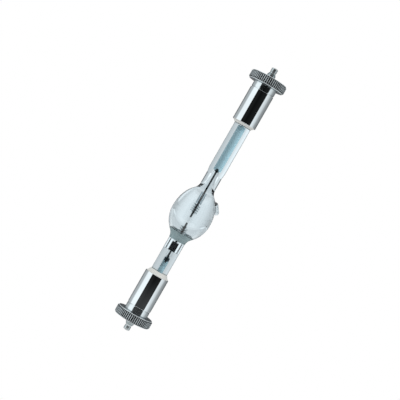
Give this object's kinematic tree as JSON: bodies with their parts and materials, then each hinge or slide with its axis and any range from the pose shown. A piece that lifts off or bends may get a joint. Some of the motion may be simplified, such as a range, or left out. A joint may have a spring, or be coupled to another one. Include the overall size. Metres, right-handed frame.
{
  "type": "mercury arc lamp",
  "caption": "Double-ended short-arc lamp with a blown quartz bulb, coiled electrodes, metal caps, threaded studs and knurled nuts.",
  "frame": {"origin": "on the lamp axis, in the lower cap's seat plane, where the knurled nut meets the collar", "axes": "+Z along the lamp axis towards the cap on the long neck, +X towards the exhaust pip on the bulb"},
  "size_m": [0.027, 0.026, 0.1837],
  "materials": {
    "clear_quartz": "clear blown quartz",
    "reflector_coating": "dull metallic coating",
    "mercury": "liquid metal",
    "tungsten": "drawn tungsten, slightly dull",
    "sleeve_quartz": "milky quartz tube",
    "black_sleeve": "matt black",
    "molybdenum_foil": "blue-grey rolled foil",
    "cement": "matt off-white cement",
    "nickel_plate": "bright nickel plate",
    "knurled_nickel": "bright nickel plate over a straight knurl"
  },
  "bodies": {
    "lamp": {"quartz_envelope": "clear_quartz", "end_coating": "reflector_coating", "mercury_bead": "mercury", "upper_electrode_rod": "tungsten", "lower_electrode_rod": "tungsten", "upper_inner_coil": "tungsten", "lower_inner_coil": "tungsten", "upper_outer_coil": "tungsten", "lower_outer_coil": "tungsten", "upper_rod_sleeve": "sleeve_quartz", "lower_rod_sleeve": "black_sleeve", "upper_weld_tab": "tungsten", "lower_weld_tab": "tungsten", "upper_foil": "molybdenum_foil", "lower_foil": "molybdenum_foil", "upper_lead": "molybdenum_foil", "lower_lead": "molybdenum_foil", "upper_cement": "cement", "lower_cement": "cement", "upper_cap_shell": "nickel_plate", "lower_cap_shell": "nickel_plate", "upper_cap_body": "nickel_plate", "lower_cap_body": "nickel_plate"},
    "upper_knurled_nut": {"upper_nut": "knurled_nickel"},
    "lower_knurled_nut": {"lower_nut": "knurled_nickel"}
  },
  "joints": [
    {"name": "upper_nut_unscrew", "type": "slide", "parent": "lamp", "child": "upper_knurled_nut", "axis": [0, 0, 1], "range_m": [0, 0.006]},
    {"name": "lower_nut_unscrew", "type": "slide", "parent": "lamp", "child": "lower_knurled_nut", "axis": [0, 0, -1], "range_m": [0, 0.006]}
  ]
}
